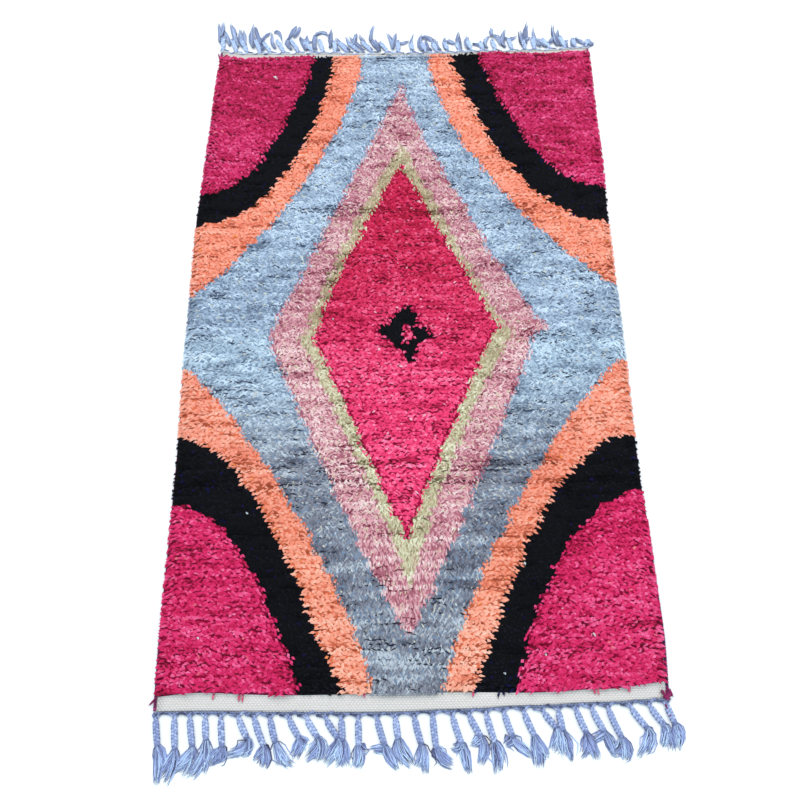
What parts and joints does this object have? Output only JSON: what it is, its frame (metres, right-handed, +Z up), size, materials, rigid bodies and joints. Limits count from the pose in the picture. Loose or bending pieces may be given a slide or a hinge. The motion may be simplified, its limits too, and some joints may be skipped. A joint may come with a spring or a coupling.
{
  "type": "berber rug",
  "caption": "Rectangular hand-knotted shag rug with flat-woven ends, overcast sides and braided tassel fringes, lying flat.",
  "frame": {"origin": "middle of the rug on its underside", "axes": "+X across the rug's width, +Y along its length towards the far fringe, +Z up out of the pile"},
  "size_m": [1.0378, 1.8864, 0.0235],
  "materials": {
    "pile_raspberry": "shaggy wool yarn, raspberry pink",
    "pile_black": "shaggy wool yarn, black with a navy cast",
    "pile_orange": "shaggy wool yarn, salmon orange",
    "pile_blue": "shaggy wool yarn, pale blue-grey with slate strands",
    "pile_rose": "shaggy wool yarn, mottled dusty rose",
    "pile_cream": "shaggy wool yarn, pale green-cream",
    "ground_cream": "flat-woven wool, cream",
    "selvedge_plum": "overcast wool yarn, plum and magenta",
    "fringe_lavender": "braided and loose wool yarn, lavender blue-grey"
  },
  "bodies": {
    "root": {"ground_cloth": "ground_cream", "pile": "pile_raspberry", "selvedge_left": "selvedge_plum", "selvedge_right": "selvedge_plum", "fringe_near": "fringe_lavender", "fringe_far": "fringe_lavender"}
  },
  "joints": []
}
